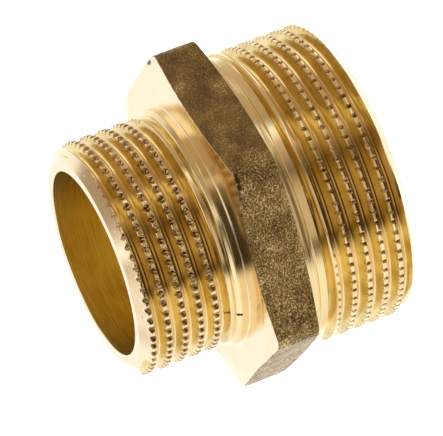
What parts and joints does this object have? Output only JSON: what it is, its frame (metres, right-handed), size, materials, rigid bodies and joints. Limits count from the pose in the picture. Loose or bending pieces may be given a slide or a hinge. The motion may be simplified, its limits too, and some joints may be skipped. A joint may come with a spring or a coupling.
{
  "type": "hex nipple",
  "caption": "Brass reducing hex nipple: an open bore, a male parallel pipe thread of a different size at each end, and a hexagon for a spanner between them.",
  "frame": {"origin": "centre of the large end face, on the axis", "axes": "+Z along the axis from the large end to the small end; +X through a corner of the hexagon"},
  "size_m": [0.0486, 0.0428, 0.038],
  "materials": {
    "turned_brass": "bright turned",
    "forged_brass": "rough as forged"
  },
  "bodies": {
    "root": {"hex_collar": "forged_brass", "large_end_spigot": "turned_brass", "large_end_thread": "turned_brass", "small_end_spigot": "turned_brass", "small_end_thread": "turned_brass"}
  },
  "joints": []
}
